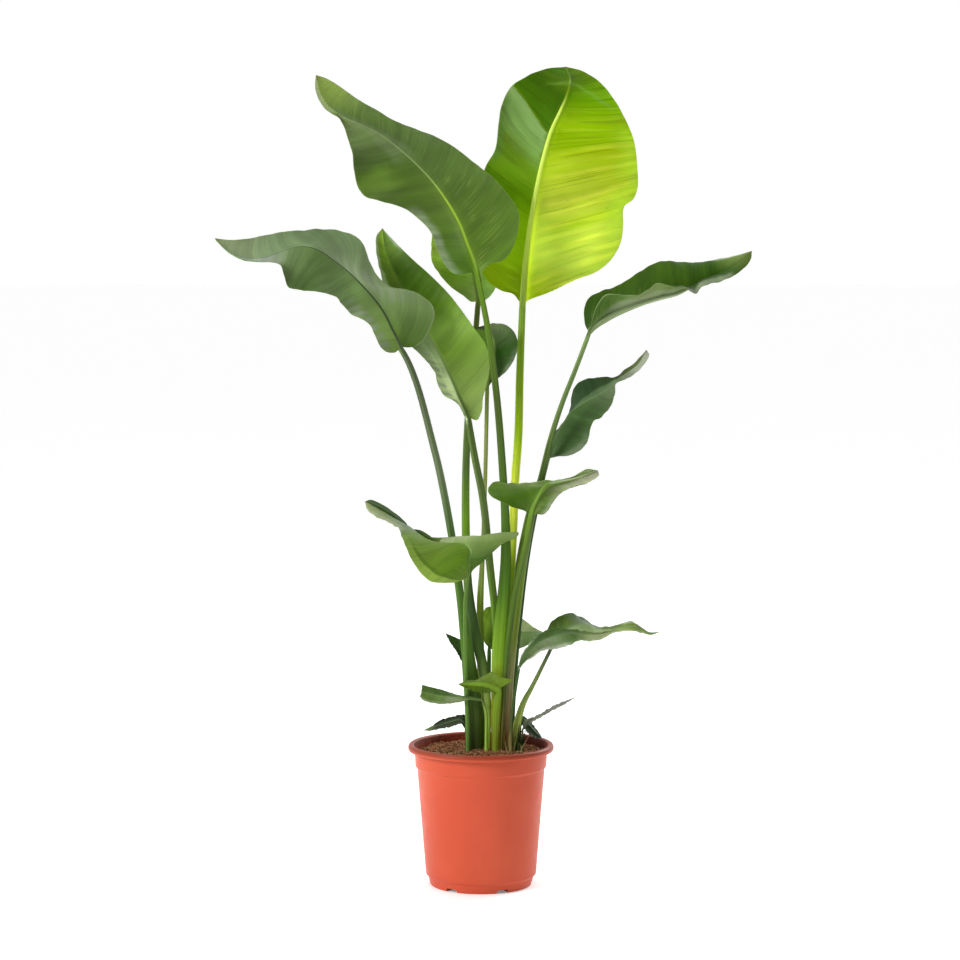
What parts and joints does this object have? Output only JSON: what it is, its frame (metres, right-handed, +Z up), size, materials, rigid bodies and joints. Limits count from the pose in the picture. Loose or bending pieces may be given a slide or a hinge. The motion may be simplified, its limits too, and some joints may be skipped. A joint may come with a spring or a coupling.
{
  "type": "potted bird of paradise plant",
  "caption": "Young giant bird of paradise with broad paddle leaves on long stalks, rooted in potting soil in a round tapered plastic nursery pot that stands on its own flat base.",
  "frame": {"origin": "centre of the pot's flat standing face", "axes": "+Z up along the pot's axis; -Y towards the plant's front, the side that the picture shows; +X to the right of someone looking at the front"},
  "size_m": [0.7608, 0.3241, 1.1833],
  "materials": {
    "pot": "terracotta-coloured moulded polypropylene with a soft sheen",
    "soil": "loose brown potting mix of peat and coir, rough and matte",
    "young_leaf": "thin yellow-green young leaf that light shines through, waxy",
    "fresh_leaf": "bright green leaf, satin",
    "leaf": "mid green leaf with a grey-green waxy sheen",
    "dark_leaf": "dark green leaf, satin"
  },
  "bodies": {
    "root": {"pot": "pot", "soil": "soil", "leaf_upper_left": "leaf", "leaf_tall_backlit": "young_leaf", "leaf_behind_centre": "fresh_leaf", "leaf_small_behind": "dark_leaf", "leaf_left_arching": "leaf", "leaf_left_inner": "fresh_leaf", "leaf_right_arching": "dark_leaf", "leaf_right_curled": "dark_leaf", "leaf_mid_right": "fresh_leaf", "leaf_mid_left": "fresh_leaf", "leaf_low_right_long": "fresh_leaf", "leaf_low_right_front": "leaf", "leaf_low_behind": "leaf", "leaf_low_left_tip": "dark_leaf", "leaf_low_front": "fresh_leaf", "leaf_low_left_roll": "leaf", "leaf_low_left_droop": "dark_leaf", "leaf_low_right_thin": "dark_leaf", "leaf_low_right_droop": "dark_leaf"}
  },
  "joints": []
}
